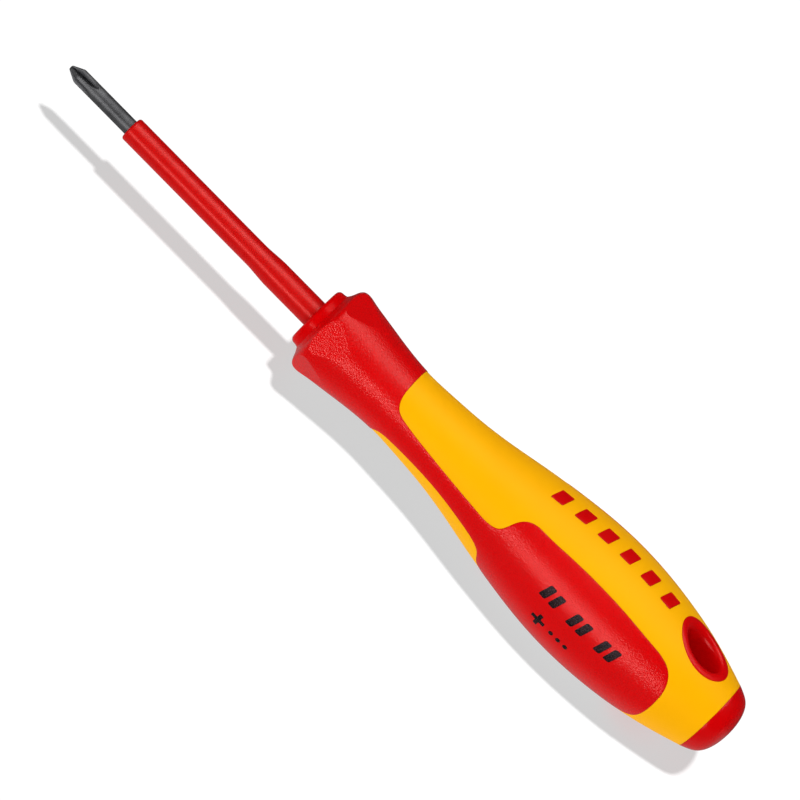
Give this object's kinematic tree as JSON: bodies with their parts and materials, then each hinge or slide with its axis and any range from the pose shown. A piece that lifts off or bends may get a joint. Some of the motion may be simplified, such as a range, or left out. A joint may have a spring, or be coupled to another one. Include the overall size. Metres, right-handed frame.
{
  "type": "insulated screwdriver",
  "caption": "Insulated cross-recess screwdriver: sleeved steel blade, bellied hard-shell handle with soft grip pads, hexagonal anti-roll guard and oval hanging hole.",
  "frame": {"origin": "the point of the blade, on the blade's axis", "axes": "+X runs back along the blade's axis from the point to the butt of the handle; +Z is the outward normal of one of the two handle faces that carry the inlays and the mouths of the hanging hole; the soft grip pads face -Y and +Y"},
  "size_m": [0.162, 0.0246, 0.0246],
  "materials": {
    "blade_steel": "burnished, nearly black, lightly oiled",
    "insulation_red": "smooth satin-gloss red",
    "hard_red": "glossy red",
    "shell_yellow": "smooth satin yellow",
    "soft_red": "finely grained matt red thermoplastic rubber",
    "print_black": "thin matt printed ink"
  },
  "bodies": {
    "root": {"blade": "blade_steel", "blade_insulation": "insulation_red", "nose_bush": "hard_red", "handle_core": "hard_red", "handle_shell": "shell_yellow", "soft_grip": "soft_red", "hang_eyelet": "hard_red", "end_cap": "hard_red", "shell_inlays": "hard_red"}
  },
  "joints": []
}
